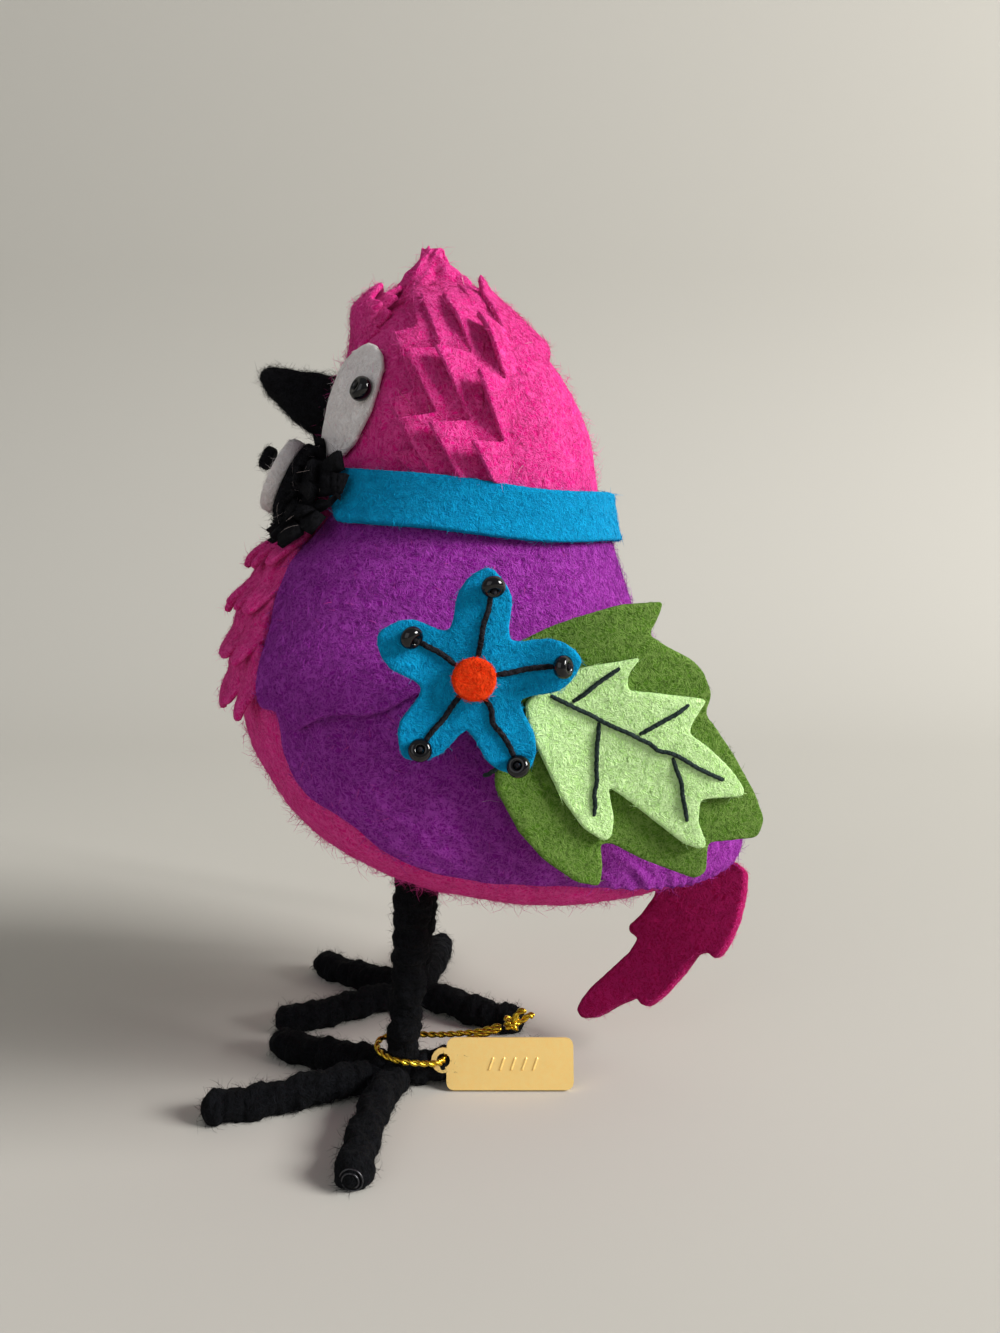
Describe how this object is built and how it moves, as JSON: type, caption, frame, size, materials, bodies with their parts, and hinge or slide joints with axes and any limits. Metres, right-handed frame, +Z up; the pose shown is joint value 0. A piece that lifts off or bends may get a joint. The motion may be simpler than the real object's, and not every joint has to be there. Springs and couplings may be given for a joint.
{
  "type": "felt bird ornament",
  "caption": "Standing bird ornament of needle-felted wool and cut felt, with a felt flower and leaves on each side, beads, yarn-wrapped legs, a tail feather and a small metal tag.",
  "frame": {"origin": "on the surface the bird stands on, under the middle of its bounding box, the tag and its tie left out", "axes": "+Z up; the bird faces -Y and its left side is +X"},
  "size_m": [0.0992, 0.1004, 0.15],
  "materials": {
    "pink_wool": "needle-felted wool, matt and fuzzy",
    "pink_felt": "wool felt sheet, matt",
    "purple_felt": "wool felt sheet, matt",
    "turquoise_felt": "wool felt sheet, matt",
    "white_felt": "wool felt sheet, matt",
    "black_felt": "black felted wool, matt and fuzzy",
    "dark_green_felt": "wool felt sheet with dark flecks",
    "light_green_felt": "wool felt sheet with darker flecks",
    "orange_felt": "wool felt sheet, matt",
    "black_yarn": "black wool yarn wrapped round wire",
    "black_glass": "opaque black glass, glossy",
    "gold_tag": "pale gold, satin",
    "gold_thread": "metallic twisted cord, shiny"
  },
  "bodies": {
    "root": {"back_cover": "purple_felt", "bead_left_1": "black_glass", "bead_left_2": "black_glass", "bead_left_3": "black_glass", "bead_left_4": "black_glass", "bead_left_5": "black_glass", "bead_right_1": "black_glass", "bead_right_2": "black_glass", "bead_right_3": "black_glass", "bead_right_4": "black_glass", "bead_right_5": "black_glass", "beak": "black_felt", "body": "pink_wool", "breast_row_1": "pink_felt", "breast_row_2": "pink_felt", "breast_row_3": "pink_felt", "breast_row_4": "pink_felt", "cape": "purple_felt", "collar": "turquoise_felt", "cord_knot": "gold_thread", "crest": "pink_felt", "dark_leaf_left": "dark_green_felt", "dark_leaf_right": "dark_green_felt", "eye_left": "black_glass", "eye_patch_left": "white_felt", "eye_patch_right": "white_felt", "eye_right": "black_glass", "flower_dot_left": "orange_felt", "flower_dot_right": "orange_felt", "flower_left": "turquoise_felt", "flower_right": "turquoise_felt", "head_band_front": "pink_felt", "head_band_middle": "pink_felt", "head_band_rear": "pink_felt", "leg_left": "black_yarn", "leg_right": "black_yarn", "light_leaf_left": "light_green_felt", "light_leaf_right": "light_green_felt", "rosette_button": "black_felt", "rosette_disc": "white_felt", "rosette_puff": "black_felt", "tag": "gold_tag", "tag_cord": "gold_thread", "tail": "pink_felt"}
  },
  "joints": []
}
